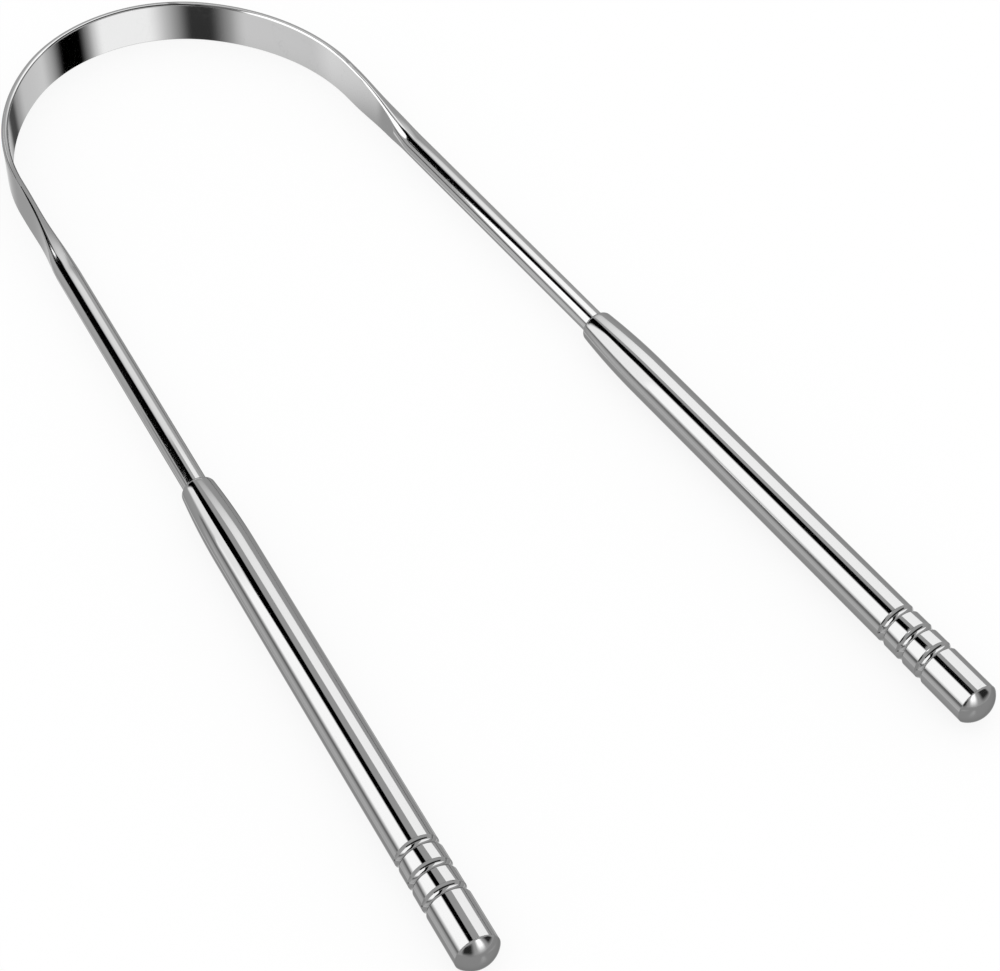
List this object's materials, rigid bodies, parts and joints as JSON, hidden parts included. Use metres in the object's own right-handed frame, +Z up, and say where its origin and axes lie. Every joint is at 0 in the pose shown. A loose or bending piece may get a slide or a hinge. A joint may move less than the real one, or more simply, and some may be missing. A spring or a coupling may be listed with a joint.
{
  "type": "tongue scraper",
  "caption": "U-shaped steel tongue scraper: a bent wire pressed flat into an upright band at the arch, with a tubular, grooved handle on each splayed leg.",
  "frame": {"origin": "middle of the bounding box at its lowest level, where the lower edge of the band rests", "axes": "+Y along the middle of the bow, from the handles to the arch; +Z up, square to the plane of the bow; +X to the right handle"},
  "size_m": [0.0648, 0.1508, 0.0058],
  "materials": {
    "polished_wire": "mirror-polished stainless steel wire",
    "polished_tube": "mirror-polished drawn stainless steel tube",
    "polished_plug": "mirror-polished turned stainless steel"
  },
  "bodies": {
    "root": {"scraper_bow": "polished_wire", "left_handle_tube": "polished_tube", "right_handle_tube": "polished_tube", "left_end_plug": "polished_plug", "right_end_plug": "polished_plug"}
  },
  "joints": []
}
